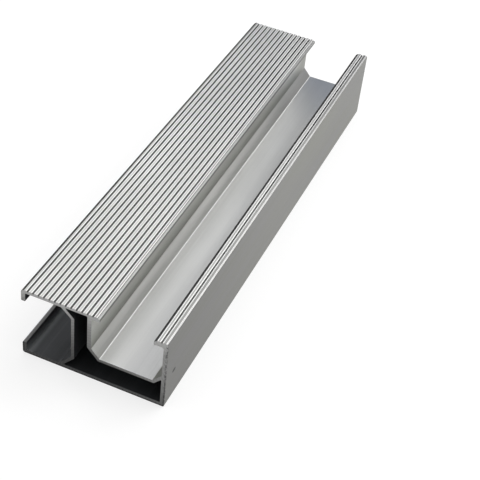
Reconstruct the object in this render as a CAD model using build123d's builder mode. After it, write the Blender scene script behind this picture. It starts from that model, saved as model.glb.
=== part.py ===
"""Solar mounting rail: one aluminium extrusion, cut to a short length.

Millimetres, +Z up, length along Y. The origin is the middle of the base's underside.
Seen from the front end, looking along +Y, the section has a channel open to the left, a
hollow neck under the grooved plate, and a channel open to the top. One hollow runs from
the neck under the floor of the top channel to the right wall.
"""
import os
from math import cos, radians, sin, tan

from build123d import *

# Overall size
length = 225.6
width = 61.0
height = 33.4

# Thickness of each wall
base_thickness = 1.8
side_lip_thickness = 1.8
wall_thickness = 1.75
web_thickness = 1.35
roof_thickness = 1.25
plate_thickness = 1.55
nose_thickness = 2.1
wall_lip_thickness = 2.4

# Both channels take the same nut, so their mouths are equally wide
slot_opening = 22.0

# Side channel: its web splays out at the foot and at the root, by these angles from level
foot_rise = 5.75
root_drop = 4.2
low_splay = 48.0
high_splay = 45.0

# Hollow neck between the two webs
neck_width = 5.45

# Top channel: its floor rises to the web and to the wall along slanting walls
nose_overhang = 3.4
wall_lip_width = 5.8
floor_height = 12.15
bevel_rise = 4.0
bevel_angle = 48.0
lip_drop = 0.35
lip_drop_width = 1.2

# Slanting shoulders at the left edge of the plate and of the wall's lip
shoulder_drop = 1.05
lip_shoulder_width = 1.4

# Grooves along the top of the plate and of the wall's lip, with a step at the plate's nose
groove_pitch = 2.29
groove_width = 0.78
groove_depth = 0.5
groove_flank = 64.0
first_groove = 2.93
nose_step_width = 0.92
wall_groove_inset = 2.62

# Rounded corners of the section
rib_edge_radius = 0.2
outer_radius = 0.6
foot_radius = 0.9
side_lip_radius = 0.5
lip_radius = 0.35
knee_radius = 0.9
fold_radius = 0.4
root_radius = 0.5
hollow_radius = 0.25

# Where the walls stand across the section: the side channel takes what the rest leaves
left = -width / 2
right = width / 2
channel_right = right - wall_thickness
wall_lip_end = right - wall_lip_width
nose_end = wall_lip_end - slot_opening
nose_step = nose_end - nose_step_width
channel_left = nose_end - nose_overhang
neck_right = channel_left - wall_thickness
neck_left = neck_right - neck_width
side_web_face = neck_left - web_thickness

# Levels of the walls' faces: the side channel's mouth is at mid height
side_lip_height = (height - slot_opening) / 2
hook_height = height - side_lip_height
plate_underside = height - plate_thickness
low_knee_height = base_thickness + foot_rise
high_knee_height = plate_underside - root_drop
roof_height = height - roof_thickness
nose_underside = height - nose_thickness
wall_lip_underside = height - wall_lip_thickness
floor_underside = floor_height - web_thickness
channel_knee = floor_height + bevel_rise
groove_floor = height - groove_depth
shoulder_foot = height - shoulder_drop

# The side web's two slanting ends, with the far face one web thickness behind the near one
high_slope = tan(radians(high_splay))
low_knee_inside = low_knee_height - web_thickness * tan(radians(90 - low_splay) / 2)
high_knee_inside = high_knee_height + web_thickness * tan(radians(90 - high_splay) / 2)
foot = side_web_face - foot_rise / tan(radians(low_splay))
foot_inside = foot + web_thickness / sin(radians(low_splay))
root = side_web_face - root_drop / high_slope
root_inside = neck_left - (roof_height - high_knee_inside) / high_slope

# The top channel's slanting walls, as thick as its floor
bevel_slope = tan(radians(bevel_angle))
bevel_inside = channel_knee - web_thickness / cos(radians(bevel_angle))
bevel_run = bevel_rise / bevel_slope
bevel_run_inside = (bevel_inside - floor_underside) / bevel_slope
neck_knee = bevel_inside + wall_thickness * bevel_slope

# How far past the block the cuts for the open channels reach
overcut = 5.0
shoulder_overcut = lip_shoulder_width * (1 + overcut / shoulder_drop)

# Corners of each space in the section, one after the other, as (across, up, radius)
side_channel = [
    (left - overcut, side_lip_height, 0),
    (left + side_lip_thickness, side_lip_height, lip_radius),
    (left + side_lip_thickness, base_thickness, root_radius),
    (foot, base_thickness, root_radius),
    (side_web_face, low_knee_height, knee_radius),
    (side_web_face, high_knee_height, knee_radius),
    (root, plate_underside, knee_radius),
    (left + side_lip_thickness, plate_underside, root_radius),
    (left + side_lip_thickness, hook_height, lip_radius),
    (left - overcut, hook_height, 0),
]
hollow = [
    (foot_inside, base_thickness, hollow_radius),
    (channel_right, base_thickness, hollow_radius),
    (channel_right, bevel_inside, hollow_radius),
    (channel_right - bevel_run_inside, floor_underside, fold_radius),
    (channel_left + bevel_run_inside, floor_underside, fold_radius),
    (neck_right, neck_knee, fold_radius),
    (neck_right, roof_height, hollow_radius),
    (root_inside, roof_height, hollow_radius),
    (neck_left, high_knee_inside, fold_radius),
    (neck_left, low_knee_inside, fold_radius),
]
top_channel = [
    (nose_step, height + overcut, 0),
    (nose_step, groove_floor, rib_edge_radius),
    (nose_end, groove_floor, rib_edge_radius),
    (nose_end, nose_underside, lip_radius),
    (channel_left, nose_underside, root_radius),
    (channel_left, channel_knee, knee_radius),
    (channel_left + bevel_run, floor_height, fold_radius),
    (channel_right - bevel_run, floor_height, fold_radius),
    (channel_right, channel_knee, knee_radius),
    (channel_right, wall_lip_underside, knee_radius),
    (wall_lip_end + lip_drop_width, wall_lip_underside, 0),
    (wall_lip_end, wall_lip_underside - lip_drop, lip_radius),
    (wall_lip_end, shoulder_foot, lip_radius),
    (wall_lip_end + shoulder_overcut, height + overcut, 0),
]

# Outer corners of the section, as (across, up, radius)
outer_corners = [
    (left, 0, foot_radius),
    (left, side_lip_height, side_lip_radius),
    (left, hook_height, lip_radius),
    (left, shoulder_foot, lip_radius),
    (right, height, outer_radius),
    (right, 0, outer_radius),
]

# Groove centres: a row along the plate that stops short of the nose's step, and one on the wall's lip
groove_count = int((nose_step - groove_width - left - first_groove) // groove_pitch) + 1
plate_grooves = [left + first_groove + step * groove_pitch for step in range(groove_count)]
wall_groove = right - wall_groove_inset
groove_places = [(across, height) for across in (*plate_grooves, wall_groove)]


def is_rib_edge(corner):
    """True for a corner on the level of the rib tops, apart from the outer one of the wall."""
    return abs(corner.Y - height) < groove_depth / 2 and right - corner.X > outer_radius


with BuildPart() as rail:
    with BuildSketch(Plane.XZ) as section:
        Rectangle(width, height, align=(Align.CENTER, Align.MIN))
        chamfer(section.vertices().sort_by_distance((left, height))[0], shoulder_drop)
        for outline in (side_channel, hollow, top_channel):
            with BuildLine():
                points = [(across, up) for across, up, radius in outline]
                radii = [radius for across, up, radius in outline]
                FilletPolyline(*points, radius=radii, close=True)
            make_face(mode=Mode.SUBTRACT)
        with Locations(*groove_places):
            Trapezoid(
                groove_width,
                groove_depth,
                groove_flank,
                rotation=180,
                align=(Align.CENTER, Align.MIN),
                mode=Mode.SUBTRACT,
            )
        fillet(section.vertices().filter_by(is_rib_edge), rib_edge_radius)
        for across, up, radius in outer_corners:
            fillet(section.vertices().sort_by_distance((across, up))[0], radius)
    extrude(amount=length / 2, both=True)

os.makedirs("parts", exist_ok=True)
rail.part.label = "rail"
export_step(rail.part, "parts/rail.step")
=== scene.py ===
"""The solar mounting rail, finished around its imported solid.

Metres, +Z up. The rail lies along Y with its base on the floor. Its extruded faces are mill finished,
with die lines along the length, and its two ends are saw cut with the edge broken by a file.
"""
from math import cos, pi, radians, sin

import bmesh
import bpy
from mathutils import Matrix, Vector


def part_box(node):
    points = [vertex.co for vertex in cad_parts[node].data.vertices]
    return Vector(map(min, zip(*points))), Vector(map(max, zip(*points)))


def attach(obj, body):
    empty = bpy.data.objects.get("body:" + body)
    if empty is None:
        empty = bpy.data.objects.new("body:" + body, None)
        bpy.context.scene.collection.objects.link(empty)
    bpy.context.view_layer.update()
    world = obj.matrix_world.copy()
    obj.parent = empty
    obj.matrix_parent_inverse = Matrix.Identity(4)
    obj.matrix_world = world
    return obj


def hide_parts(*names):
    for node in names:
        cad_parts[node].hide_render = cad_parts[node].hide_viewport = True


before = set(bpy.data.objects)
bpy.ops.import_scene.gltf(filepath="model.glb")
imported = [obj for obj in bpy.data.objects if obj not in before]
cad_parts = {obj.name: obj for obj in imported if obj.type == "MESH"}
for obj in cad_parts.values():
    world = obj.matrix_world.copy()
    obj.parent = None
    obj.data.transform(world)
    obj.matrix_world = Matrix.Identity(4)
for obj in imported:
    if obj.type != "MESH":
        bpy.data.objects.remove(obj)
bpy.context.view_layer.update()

# The rail's own box: low is its left front bottom corner, high its right back top corner
low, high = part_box("rail")

# Places across the rail where one finish gives way to the next
side_web = -0.00925
channel_left = -0.0007
last_groove = 0.0
nose_step = 0.00178
nose = 0.0027
channel_middle = 0.014
lip_shoulder_end = 0.0262
lip_groove = 0.02788

# Widths from the rail's left or right side
plate_edge = 0.0014
side_lip = 0.0018
outer_round = 0.0006

# Heights above the floor, and the fold's own height above the channel's floor
side_lip_top = 0.0057
channel_floor = 0.01215
fold_height = 0.0004

# Depths below the rib tops
rib_edge_depth = 0.0002
groove_depth = 0.0005
shoulder_depth = 0.0012

# Slopes of faces, as the upward part of their normals: 1 is level and 0 is upright
level_slope = 0.999
floor_slope = 0.96
corner_slope = 0.85
# The least slope at which a rib's edge gets the painted highlight
highlight_slope = 0.83
fold_slope = 0.71
slant_slope = 0.3
upward_slope = 0.01

# A face within this distance of a place counts as lying at it
skin = 0.00006

# Width of the strip beside each rib's edges that carries the painted highlight
highlight_strip = 0.0003

# Cut ends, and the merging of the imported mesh
cut_end_facing = 0.9
edge_break = 0.00007
edge_break_steps = 2
merge_distance = 0.000001
flat_within = radians(0.3)
crease_angle = radians(30)

# Mill finish: how wide the marks are across the rail, and how many times longer they run along it
die_line_width = 0.0007
die_line_stretch = 120
band_width = 0.006
band_stretch = 12
cloud_width = 0.03
cloud_stretch = 2.5
grain_width = 0.0003

# Share of each kind of mark in the metal's tone, and where between the two tones they start and end
band_share = 0.35
cloud_share = 0.35
line_share = 0.2
grain_share = 0.1
tone_start = 0.35
tone_end = 0.65

# Share of the clouds and the bands in the metal's roughness, and where it starts and ends
rough_cloud_share = 0.6
rough_band_share = 0.4
rough_start = 0.3
rough_end = 0.7

# How far clouds shift a turn from one finish to another, as a share of its length, and their middle level
turn_shift = 0.3
cloud_middle = 0.5

# Sheen of bare metal, which falls with the metal's share in a finish
plain_sheen = 0.5

# Height of the bumps in drawn and in cut metal, and the grain's share of them in drawn metal
drawn_relief = 0.00004
cut_relief = 0.00003
grain_relief = 0.15

# Directions in which a finish turns into another
rightwards = (1, 0, 0)
backwards = (0, 1, 0)
upwards = (0, 0, 1)

# Dark mark on the outer wall: its middle, half its length and height, and how ragged, soft and strong it is
mark_place = Vector((high.x, low.y + 0.0072, 0.0137))
mark_length = 0.0018
mark_height = 0.001
mark_raggedness = 0.5
mark_blur = 0.6
mark_strength = 0.9
mark_tone = (0.05, 0.05, 0.05, 1)

# Nicks along cut edges: their width, how far they reach, the share of that reach where they are strongest,
# the levels of noise between which they deepen, and their strength
nick_width = 0.0009
nick_reach = 0.001
nick_full_reach = 0.3
nick_start = 0.4
nick_end = 0.62
nick_strength = 0.65
nick_tone = (0.03, 0.03, 0.03, 1)

# Saw cut: how closely its strokes lie, how much they bend, their share in its scratches, and its roughness
stroke_density = 220.0
stroke_bend = 3.0
stroke_share = 0.5
cut_roughness = 0.5
cut_grain_roughness = 0.15

# Saw cut: painted shade darkens it from cut_foot downwards, a limit that falls towards the right, and
# painted light pales it above cut_top
cut_foot = 0.032
cut_foot_lean = 0.35
cut_top = 0.026

# Dark rim along the foot and lower sides of each cut end, a painted contact shadow along the foot
dark_rim_width = 0.0006
dark_rim_blur = 0.0002
right_rim_top = 0.018
right_rim_strength = 0.6
dark_rim_tone = (0.02, 0.02, 0.02, 1)

# Floor: its radius and corners, how far it lies under the base, its paint, and its glow where it is seen
floor_radius = 6
floor_corners = 64
floor_gap = 0.00005
floor_paint = (0.35, 0.35, 0.35, 1)
floor_glow = 0.71

# Studio: how far each panel stands from the rail, and how bright the room is
panel_distance = 1.2
room_glow = 0.6

# Camera, as azimuth and elevation of its line of sight, in degrees
camera_place = Vector((0.147353, -0.391742, 0.343930))
camera_azimuth = 18.753
camera_elevation = 40.442
camera_roll = 6.97
camera_lens = 89.98
sensor_width = 36


class Wire:
    """The output of a node, on which Python's operators add Math nodes."""

    def __init__(self, finish, socket):
        self.finish = finish
        self.socket = socket

    def math(self, operation, first, second):
        return self.finish.node("ShaderNodeMath", {"operation": operation}, {0: first, 1: second})

    def __add__(self, other):
        return self.math("ADD", self, other)

    def __radd__(self, other):
        return self.math("ADD", other, self)

    def __sub__(self, other):
        return self.math("SUBTRACT", self, other)

    def __rsub__(self, other):
        return self.math("SUBTRACT", other, self)

    def __mul__(self, other):
        return self.math("MULTIPLY", self, other)

    def __rmul__(self, other):
        return self.math("MULTIPLY", other, self)


class Finish:
    """A node tree, filled one node at a time."""

    def __init__(self, tree):
        self.tree = tree
        self.tree.nodes.clear()

    def node(self, kind, settings=None, sockets=None, output=0):
        """Add a node, with its settings first and then its sockets' values or wires."""
        made = self.tree.nodes.new(kind)
        for name, value in (settings or {}).items():
            setattr(made, name, value)
        for name, value in (sockets or {}).items():
            if isinstance(value, Wire):
                self.tree.links.new(value.socket, made.inputs[name])
            else:
                made.inputs[name].default_value = value
        return Wire(self, made.outputs[output]) if made.outputs else made

    def blend(self, factor, first, second):
        """Mix two colours."""
        return self.node("ShaderNodeMix", {"data_type": "RGBA"}, {0: factor, 6: first, 7: second}, 2)

    def vector(self, operation, *values, output="Vector"):
        """Vector maths on places and directions."""
        return self.node("ShaderNodeVectorMath", {"operation": operation}, dict(enumerate(values)), output)

    def coordinate(self, place, axis):
        """How far a place lies along X, Y or Z."""
        return self.node("ShaderNodeSeparateXYZ", {}, {"Vector": place}, axis)

    def marks(self, place, width, stretch, detail=2.0):
        """Noise as wide as width across the rail and stretch times as long along it."""
        size = self.vector("MULTIPLY", place, (1, 1 / stretch, 1))
        return self.node("ShaderNodeTexNoise", {}, {"Vector": size, "Scale": 1 / width, "Detail": detail})

    def stepped(self, value, start, end):
        """0 as far as start and 1 from end on, with a smooth step between. End may be below start."""
        return self.node(
            "ShaderNodeMapRange",
            {"interpolation_type": "SMOOTHSTEP"},
            {"Value": value, "From Min": start, "From Max": end},
        )


def new_material(name):
    """A material and the finish that fills its tree."""
    material = bpy.data.materials.new(name)
    material.use_nodes = True
    return material, Finish(material.node_tree)


def metal_surface(finish, colour, roughness, relief, depth, metallic=1.0):
    """Metal with bumps of that depth. The less metallic, the less sheen it has."""
    metal = finish.node(
        "ShaderNodeBsdfPrincipled",
        {},
        {
            "Base Color": colour,
            "Metallic": metallic,
            "Roughness": roughness,
            "Specular IOR Level": plain_sheen * metallic,
            "Normal": finish.node("ShaderNodeBump", {}, {"Height": relief, "Distance": depth}, "Normal"),
        },
    )
    finish.node("ShaderNodeOutputMaterial", {}, {"Surface": metal})


def nicked(finish, place, from_edge, colour):
    """The colour with dark nicks in it along an edge, from how far each place lies from that edge."""
    specks = finish.stepped(finish.marks(place, nick_width, 1, 1.0), nick_start, nick_end)
    nicks = nick_strength * specks * finish.stepped(from_edge, nick_reach, nick_full_reach * nick_reach)
    return finish.blend(nicks, colour, nick_tone)


def wall_marks(finish, place, clouds, colour):
    """The colour with the small dark mark on the outer wall and the nicks along the front edge."""
    offset = finish.vector("SUBTRACT", place, mark_place)
    offset = finish.vector("MULTIPLY", offset, (0, 1 / mark_length, 1 / mark_height))
    distance = finish.vector("LENGTH", offset, output="Value")
    inside = 1 - distance + mark_raggedness * (clouds - cloud_middle)
    colour = finish.blend(mark_strength * finish.stepped(inside, 0.0, mark_blur), colour, mark_tone)
    return nicked(finish, place, finish.coordinate(place, "Y") - low.y, colour)


def drawn_metal(name, tones, *turns, roughness, metallic, marking=None):
    """Extruded metal between two tones: satin, with fine die lines, broad bands and faint clouds of oxide.

    A turn is two other tones, the direction in which the metal turns into them, and where it starts and
    ends. Roughness is that of the smoothest and of the roughest places. Marking is a function that adds
    marks to the colour.
    """
    material, finish = new_material(name)
    place = finish.node("ShaderNodeTexCoord", output="Object")
    lines = finish.marks(place, die_line_width, die_line_stretch, 3.0)
    bands = finish.marks(place, band_width, band_stretch)
    clouds = finish.marks(place, cloud_width, cloud_stretch)
    grain = finish.marks(place, grain_width, 1, 1.0)
    mottle = band_share * bands + cloud_share * clouds + line_share * lines + grain_share * grain
    mottle = finish.stepped(mottle, tone_start, tone_end)
    colour = finish.blend(mottle, *tones)
    # Each turn paints light or shade into the tone, as a gradient towards one end or side of the rail
    for turned_tones, heading, start, end in turns:
        along = finish.vector("DOT_PRODUCT", place, heading, output="Value")
        along = along + (end - start) * turn_shift * (clouds - cloud_middle)
        turned = finish.stepped(along, start, end)
        colour = finish.blend(turned, colour, finish.blend(mottle, *turned_tones))
    if marking:
        colour = marking(finish, place, clouds, colour)
    smoothest, roughest = roughness
    worn = finish.stepped(rough_cloud_share * clouds + rough_band_share * bands, rough_start, rough_end)
    satin = smoothest + (roughest - smoothest) * worn
    metal_surface(finish, colour, satin, lines + grain_relief * grain, drawn_relief, metallic)
    return material


def rib_top_finish():
    """The flat tops of the plate's ribs, darker towards the back end as painted shade."""
    tones = (0.645, 0.645, 0.632, 1), (0.735, 0.735, 0.722, 1)
    back_tones = (0.46, 0.462, 0.456, 1), (0.54, 0.542, 0.534, 1)
    end_tones = (0.34, 0.343, 0.35, 1), (0.41, 0.413, 0.42, 1)
    turns = (back_tones, backwards, -0.12, 0.14), (end_tones, backwards, 0.06, 0.13)
    return drawn_metal("rib_top_finish", tones, *turns, roughness=(0.34, 0.44), metallic=0.9)


def lip_top_finish():
    """The flat top of the right lip's wide rib, darker than the others as painted shade, darker still at
    the back.
    """
    tones = (0.33, 0.33, 0.323, 1), (0.41, 0.41, 0.402, 1)
    back_tones = (0.16, 0.162, 0.162, 1), (0.22, 0.222, 0.222, 1)
    turn = back_tones, backwards, 0.04, 0.11
    return drawn_metal("lip_top_finish", tones, turn, roughness=(0.34, 0.44), metallic=0.9)


def shaded_rib_finish():
    """The flat tops of the plate's last rib and the right lip's narrow one, given a middle tone by painted
    shade, darker at the back.
    """
    tones = (0.42, 0.42, 0.411, 1), (0.5, 0.5, 0.491, 1)
    back_tones = (0.28, 0.281, 0.28, 1), (0.34, 0.341, 0.34, 1)
    turn = back_tones, backwards, 0.03, 0.12
    return drawn_metal("shaded_rib_finish", tones, turn, roughness=(0.34, 0.44), metallic=0.9)


def edge_highlight_finish():
    """The ribs' rounded edges and the strips beside them, pale with a painted highlight, less so towards
    the back end.
    """
    tones = (0.86, 0.86, 0.85, 1), (0.94, 0.94, 0.93, 1)
    back_tones = (0.76, 0.76, 0.76, 1), (0.84, 0.84, 0.84, 1)
    turn = back_tones, backwards, -0.12, 0.14
    return drawn_metal("edge_highlight_finish", tones, turn, roughness=(0.28, 0.34), metallic=1.0)


def corner_finish():
    """The rounded corner between right lip and outer wall, and the low step along the plate's nose: pale
    with painted light, darker at the back as painted shade.
    """
    tones = (0.5, 0.5, 0.49, 1), (0.58, 0.58, 0.57, 1)
    back_tones = (0.33, 0.33, 0.33, 1), (0.39, 0.39, 0.39, 1)
    turn = back_tones, backwards, -0.06, 0.12
    return drawn_metal("corner_finish", tones, turn, roughness=(0.34, 0.44), metallic=0.9)


def fold_finish():
    """The fold at the foot of the channel's slanting sides, pale with a painted highlight that dims towards
    the back end.
    """
    tones = (0.7, 0.7, 0.69, 1), (0.76, 0.76, 0.75, 1)
    back_tones = (0.57, 0.57, 0.565, 1), (0.63, 0.63, 0.625, 1)
    turn = back_tones, backwards, 0.03, 0.12
    return drawn_metal("fold_finish", tones, turn, roughness=(0.34, 0.44), metallic=0.9)


def groove_finish():
    """Flanks and floors of the plate's grooves, dark with dust and oxide and with painted shade, darker at
    the back end.
    """
    tones = (0.08, 0.08, 0.076, 1), (0.13, 0.13, 0.125, 1)
    back_tones = (0.01, 0.01, 0.01, 1), (0.02, 0.02, 0.02, 1)
    turn = back_tones, backwards, -0.08, 0.07
    return drawn_metal("groove_finish", tones, turn, roughness=(0.45, 0.55), metallic=0.5)


def lip_groove_finish():
    """The groove in the right lip, a little paler than the plate's, dark with painted shade that deepens
    towards the back.
    """
    tones = (0.15, 0.15, 0.145, 1), (0.2, 0.2, 0.195, 1)
    back_tones = (0.06, 0.06, 0.06, 1), (0.09, 0.09, 0.09, 1)
    turn = back_tones, backwards, -0.08, 0.07
    return drawn_metal("lip_groove_finish", tones, turn, roughness=(0.45, 0.55), metallic=0.5)


def lip_shoulder_finish():
    """The slanting shoulder of the right lip, dark with painted shade."""
    tones = (0.04, 0.04, 0.04, 1), (0.07, 0.07, 0.07, 1)
    return drawn_metal("lip_shoulder_finish", tones, roughness=(0.8, 0.9), metallic=0.0)


def plate_shoulder_finish():
    """The slanting shoulder of the plate's left edge and the strip beside it, dark with painted shade."""
    tones = (0.06, 0.06, 0.058, 1), (0.09, 0.09, 0.087, 1)
    return drawn_metal("plate_shoulder_finish", tones, roughness=(0.8, 0.9), metallic=0.0)


def channel_floor_finish():
    """The top channel's floor: pale, palest in a broad painted reflection, with painted shade to the right
    and bluer painted shade at the back end.
    """
    tones = (0.7, 0.704, 0.695, 1), (0.78, 0.784, 0.775, 1)
    reflection_band_tones = (0.75, 0.755, 0.75, 1), (0.84, 0.845, 0.84, 1)
    right_tones = (0.61, 0.616, 0.62, 1), (0.69, 0.696, 0.7, 1)
    back_tones = (0.42, 0.426, 0.43, 1), (0.48, 0.486, 0.49, 1)
    end_tones = (0.22, 0.237, 0.268, 1), (0.255, 0.272, 0.303, 1)
    turns = (
        (reflection_band_tones, rightwards, 0.005, 0.009),
        (right_tones, rightwards, 0.0105, 0.018),
        (back_tones, (6.5, 1, 0), 0.04, 0.2),
        (end_tones, (0.8, 1, 0), 0.078, 0.124),
    )
    return drawn_metal("channel_floor_finish", tones, *turns, roughness=(0.38, 0.46), metallic=0.8)


def channel_slant_finish():
    """The slanting foot of the top channel's left wall: a painted highlight near its top, painted shade
    towards the floor and the back end.
    """
    tones = (0.51, 0.51, 0.5, 1), (0.59, 0.59, 0.58, 1)
    upper_tones = (0.68, 0.68, 0.665, 1), (0.77, 0.77, 0.755, 1)
    back_tones = (0.17, 0.171, 0.17, 1), (0.22, 0.221, 0.22, 1)
    turns = (upper_tones, upwards, 0.0125, 0.0155), (back_tones, backwards, -0.02, 0.15)
    return drawn_metal("channel_slant_finish", tones, *turns, roughness=(0.38, 0.46), metallic=0.8)


def channel_wall_finish():
    """Top channel's upright walls and right foot: warm, with painted shade low down and at the end, painted
    light high at the back.
    """
    tones = (0.27, 0.273, 0.248, 1), (0.33, 0.333, 0.308, 1)
    upper_tones = (0.48, 0.483, 0.458, 1), (0.55, 0.553, 0.528, 1)
    back_tones = (0.54, 0.543, 0.518, 1), (0.62, 0.623, 0.598, 1)
    top_tones = (0.75, 0.753, 0.728, 1), (0.83, 0.833, 0.808, 1)
    end_tones = (0.32, 0.323, 0.3, 1), (0.38, 0.383, 0.36, 1)
    turns = (
        (upper_tones, upwards, 0.016, 0.028),
        (back_tones, (0, 1, 10), 0.26, 0.34),
        (top_tones, (0, 1, 25), 0.64, 0.72),
        (end_tones, backwards, 0.09, 0.112),
    )
    return drawn_metal("channel_wall_finish", tones, *turns, roughness=(0.42, 0.52), metallic=0.8)


def nose_finish():
    """The plate's nose over the channel, darker than the walls as painted shade."""
    tones = (0.19, 0.19, 0.18, 1), (0.24, 0.24, 0.23, 1)
    return drawn_metal("nose_finish", tones, roughness=(0.42, 0.52), metallic=0.8)


def outer_finish():
    """The plain outer faces: matt, clouded between olive and grey, dark with painted shade, darkest at the
    front end.
    """
    tones = (0.197, 0.198, 0.18, 1), (0.235, 0.233, 0.231, 1)
    back_tones = (0.272, 0.273, 0.249, 1), (0.31, 0.308, 0.305, 1)
    turn = back_tones, backwards, -0.14, 0.02
    return drawn_metal(
        "outer_finish", tones, turn, roughness=(0.5, 0.62), metallic=0.8, marking=wall_marks
    )


def side_lip_finish():
    """The top of the side channel's low lip, dark with painted shade."""
    tones = (0.14, 0.14, 0.14, 1), (0.19, 0.19, 0.19, 1)
    return drawn_metal("side_lip_finish", tones, roughness=(0.4, 0.5), metallic=0.7)


def inner_finish():
    """Inside the side channel and the hollow: dark metal with painted shade, paler at the foot of the side
    lip as painted light.
    """
    tones = (0.06, 0.063, 0.067, 1), (0.09, 0.094, 0.1, 1)
    foot_tones = (0.3, 0.315, 0.323, 1), (0.37, 0.385, 0.393, 1)
    turn = foot_tones, (-1, 0, -1), 0.0228, 0.027
    return drawn_metal("inner_finish", tones, turn, roughness=(0.4, 0.5), metallic=0.7)


def outside_dark_rim(finish, across, height):
    """1 on the rest of a cut end, falling to 0 in the dark rim: painted contact shadow along its foot, dark
    lines up its lower sides.
    """
    foot = finish.stepped(height, dark_rim_width - dark_rim_blur, dark_rim_width + dark_rim_blur)
    left_rim = finish.stepped(across, low.x + dark_rim_width + dark_rim_blur, low.x + dark_rim_width - dark_rim_blur)
    left_rim = left_rim * finish.stepped(height, side_lip_top + dark_rim_width, side_lip_top)
    right_rim = finish.stepped(across, high.x - dark_rim_width, high.x - dark_rim_blur)
    right_rim = right_rim * finish.stepped(height, right_rim_top, channel_floor)
    return foot * (1 - left_rim) * (1 - right_rim_strength * right_rim)


def saw_cut_finish():
    """Cut ends: matt grey metal with the saw's fine, slightly curved strokes, darker near the floor as
    painted shade and paler near the top as painted light.

    A dark rim runs along the foot, a painted contact shadow, and up the lower sides, with nicks along the
    right side.
    """
    material, finish = new_material("saw_cut_finish")
    place = finish.node("ShaderNodeTexCoord", output="Object")
    height = finish.coordinate(place, "Z")
    across = finish.coordinate(place, "X")
    strokes = finish.node(
        "ShaderNodeTexWave",
        {"wave_type": "RINGS", "rings_direction": "Y"},
        {
            "Vector": place,
            "Scale": stroke_density,
            "Distortion": stroke_bend,
            "Detail": 2.0,
            "Detail Scale": 1.5,
        },
        "Fac",
    )
    grain = finish.marks(place, grain_width, 1, 3.0)
    scratches = stroke_share * strokes + (1 - stroke_share) * grain
    foot = finish.blend(scratches, (0.05, 0.05, 0.05, 1), (0.08, 0.08, 0.08, 1))
    middle = finish.blend(scratches, (0.235, 0.235, 0.23, 1), (0.315, 0.315, 0.31, 1))
    top = finish.blend(scratches, (0.35, 0.35, 0.345, 1), (0.44, 0.44, 0.43, 1))
    metal = finish.blend(finish.stepped(height + cut_foot_lean * across, 0.0, cut_foot), foot, middle)
    metal = finish.blend(finish.stepped(height, cut_top, high.z), metal, top)
    colour = finish.blend(outside_dark_rim(finish, across, height), dark_rim_tone, metal)
    colour = nicked(finish, place, high.x - across, colour)
    roughness = cut_roughness + cut_grain_roughness * grain
    metal_surface(finish, colour, roughness, strokes + grain, cut_relief)
    return material


def merged_solid():
    """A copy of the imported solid's mesh, with its loose triangles merged into whole flat faces."""
    mesh = bmesh.new()
    mesh.from_mesh(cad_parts["rail"].data)
    bmesh.ops.remove_doubles(mesh, verts=mesh.verts, dist=merge_distance)
    bmesh.ops.dissolve_limit(mesh, angle_limit=flat_within, verts=mesh.verts, edges=mesh.edges)
    return mesh


def is_cut_end(face):
    """True for the rail's two ends."""
    return abs(face.normal.y) > cut_end_facing


def is_rib_top(face):
    """True for the flat tops of the ribs, and for strips parted from them."""
    return face.normal.z > level_slope and face.calc_center_median().z > high.z - skin


def is_highlight_strip(face):
    """True for the narrow strips beside the ribs' edges, which carry the painted highlight."""
    sides = [corner.co.x for corner in face.verts]
    return max(sides) - min(sides) < highlight_strip + skin


def outer_skin(mesh):
    """The extruded faces that join up round the outside, which leaves out those of the hollow."""
    extruded = [face for face in mesh.faces if not is_cut_end(face)]
    start = max(extruded, key=lambda face: face.calc_center_median().x)
    found = {start}
    fresh = [start]
    while fresh:
        for edge in fresh.pop().edges:
            for face in edge.link_faces:
                if face not in found and not is_cut_end(face):
                    found.add(face)
                    fresh.append(face)
    return found


def top_finish(face, centre):
    """The finish of a face within a shoulder's depth of the rib tops."""
    depth = high.z - centre.z
    slope = face.normal.z
    if nose_step - skin < centre.x < nose:
        if slope < corner_slope:
            return nose_finish
        # Painted light on the step's floor, a painted highlight on its upper edge
        return corner_finish if depth > groove_depth - skin else edge_highlight_finish
    if centre.x > high.x - outer_round:
        return corner_finish if slope > corner_slope else outer_finish
    if centre.x < low.x + plate_edge:
        return plate_shoulder_finish
    if is_rib_top(face) and not is_highlight_strip(face):
        if centre.x < last_groove:
            return rib_top_finish
        return shaded_rib_finish if centre.x < lip_groove else lip_top_finish
    # Rib edges get a painted highlight
    if depth < rib_edge_depth and slope > highlight_slope:
        return edge_highlight_finish
    if centre.x < nose:
        return groove_finish
    return lip_shoulder_finish if centre.x < lip_shoulder_end else lip_groove_finish


def face_finish(face):
    """The finish of an extruded face on the outside or in either channel."""
    centre = face.calc_center_median()
    slope = face.normal.z
    if centre.z > high.z - shoulder_depth and slope > upward_slope:
        return top_finish(face, centre)
    if centre.x < low.x + skin or centre.x > high.x - skin or centre.z < low.z + skin:
        return outer_finish
    if centre.x < side_web + skin:
        on_side_lip = centre.x < low.x + side_lip and slope > slant_slope
        return side_lip_finish if on_side_lip else inner_finish
    if slope > floor_slope:
        return channel_floor_finish
    if slope > fold_slope and centre.z < channel_floor + fold_height:
        return fold_finish
    if slope > slant_slope and centre.x < channel_middle:
        return channel_slant_finish
    on_nose = channel_left + skin < centre.x < nose + skin
    return nose_finish if on_nose else channel_wall_finish


def paint_faces(mesh):
    """Give each face its finish, and return the finishes in the order of the faces' numbers."""
    skin_faces = outer_skin(mesh)
    finishes = []
    for face in mesh.faces:
        if is_cut_end(face):
            finish = saw_cut_finish
        elif face not in skin_faces:
            finish = inner_finish
        else:
            finish = face_finish(face)
        if finish not in finishes:
            finishes.append(finish)
        face.material_index = finishes.index(finish)
    return finishes


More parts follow.
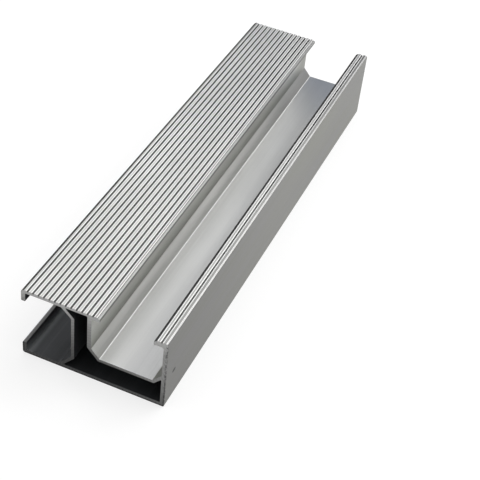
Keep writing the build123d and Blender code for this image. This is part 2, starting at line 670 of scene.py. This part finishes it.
def cut_highlight_strips(mesh):
    """Part a narrow strip from both sides of every rib top, to carry the painted highlight."""
    for side in (-1, 1):
        for top in [face for face in mesh.faces if is_rib_top(face) and not is_highlight_strip(face)]:
            edge = max(side * corner.co.x for corner in top.verts)
            bmesh.ops.bisect_plane(
                mesh,
                geom=[top, *top.edges, *top.verts],
                plane_co=(side * (edge - highlight_strip), 0, 0),
                plane_no=(1, 0, 0),
            )


def break_cut_edges(mesh):
    """File the sharp edge round both cut ends."""
    rim = [edge for edge in mesh.edges if sum(is_cut_end(face) for face in edge.link_faces) == 1]
    bmesh.ops.bevel(
        mesh,
        geom=rim,
        affect="EDGES",
        offset=edge_break,
        segments=edge_break_steps,
        profile=0.5,
        material=-1,
        clamp_overlap=False,
    )


def smooth_faces(mesh):
    """Shade the rounded corners smooth and keep the real creases."""
    for face in mesh.faces:
        face.smooth = True
    for edge in mesh.edges:
        edge.smooth = edge.calc_face_angle(0) < crease_angle


def make_rail():
    """The whole extrusion."""
    mesh = merged_solid()
    cut_highlight_strips(mesh)
    finishes = paint_faces(mesh)
    break_cut_edges(mesh)
    smooth_faces(mesh)
    data = bpy.data.meshes.new("rail_extrusion")
    mesh.to_mesh(data)
    mesh.free()
    for finish in finishes:
        data.materials.append(finish())
    rail = bpy.data.objects.new("rail_extrusion", data)
    bpy.context.scene.collection.objects.link(rail)
    even = rail.modifiers.new("even_normals", "WEIGHTED_NORMAL")
    even.keep_sharp = True
    even.weight = 100
    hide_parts("rail")
    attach(rail, "root")


def floor_finish():
    """A white floor: it holds the rail's soft shadow and shows white in the metal too."""
    material, finish = new_material("floor_white")
    seen = (
        finish.node("ShaderNodeLightPath", output="Is Camera Ray")
        + finish.node("ShaderNodeLightPath", output="Is Glossy Ray")
        + finish.node("ShaderNodeLightPath", output="Is Transmission Ray")
    )
    paint = finish.node(
        "ShaderNodeBsdfPrincipled",
        {},
        {
            "Base Color": floor_paint,
            "Roughness": 1.0,
            "Specular IOR Level": 0.0,
            "Emission Color": (1, 1, 1, 1),
            "Emission Strength": floor_glow * seen,
        },
    )
    finish.node("ShaderNodeOutputMaterial", {}, {"Surface": paint})
    return material


def make_floor():
    """A wide round floor a hair under the rail's base."""
    mesh = bmesh.new()
    bmesh.ops.create_circle(mesh, cap_ends=True, segments=floor_corners, radius=floor_radius)
    data = bpy.data.meshes.new("floor")
    mesh.to_mesh(data)
    mesh.free()
    data.transform(Matrix.Translation((0, 0, low.z - floor_gap)))
    data.materials.append(floor_finish())
    floor = bpy.data.objects.new("floor", data)
    bpy.context.scene.collection.objects.link(floor)


def direction(azimuth, elevation):
    """A unit vector, from degrees to the right of +Y and degrees above the floor."""
    level = cos(radians(elevation))
    return Vector((sin(radians(azimuth)) * level, cos(radians(azimuth)) * level, sin(radians(elevation))))


def softbox(name, azimuth, elevation, width, depth, glow):
    """A rectangular lamp aimed at the rail, whose face is glow times as bright as white."""
    light = bpy.data.lights.new(name, "AREA")
    light.shape = "RECTANGLE"
    light.size = width
    light.size_y = depth
    light.energy = glow * pi * width * depth
    lamp = bpy.data.objects.new(name, light)
    lamp.location = panel_distance * direction(azimuth, elevation)
    lamp.rotation_euler = (-lamp.location).to_track_quat("-Z", "Y").to_euler()
    bpy.context.scene.collection.objects.link(lamp)


def light_studio():
    """An evenly lit room with soft panels behind the rail, at both sides and overhead."""
    world = bpy.data.worlds.new("room")
    world.use_nodes = True
    room = Finish(world.node_tree)
    glow = room.node("ShaderNodeBackground", {}, {"Color": (1, 1, 1, 1), "Strength": room_glow})
    room.node("ShaderNodeOutputWorld", {}, {"Surface": glow})
    bpy.context.scene.world = world
    softbox("back_panel", azimuth=22, elevation=42, width=0.9, depth=0.9, glow=1.8)
    softbox("right_panel", azimuth=55, elevation=38, width=0.8, depth=0.9, glow=1.0)
    softbox("left_panel", azimuth=-42, elevation=22, width=0.6, depth=0.5, glow=2.0)
    softbox("overhead_panel", azimuth=0, elevation=89, width=1.0, depth=1.0, glow=0.6)


def aim_camera():
    """The photograph's viewpoint, from its place, line of sight and roll."""
    sight = -direction(180 - camera_azimuth, camera_elevation)
    view = bpy.data.cameras.new("camera")
    view.lens = camera_lens
    view.sensor_width = sensor_width
    camera = bpy.data.objects.new("camera", view)
    level = sight.to_track_quat("-Z", "Y").to_matrix().to_4x4()
    roll = Matrix.Rotation(radians(camera_roll), 4, "Z")
    camera.matrix_world = Matrix.Translation(camera_place) @ level @ roll
    bpy.context.scene.collection.objects.link(camera)
    bpy.context.scene.camera = camera


aim_camera()
make_rail()
make_floor()
light_studio()
bpy.context.scene.view_settings.view_transform = "Standard"
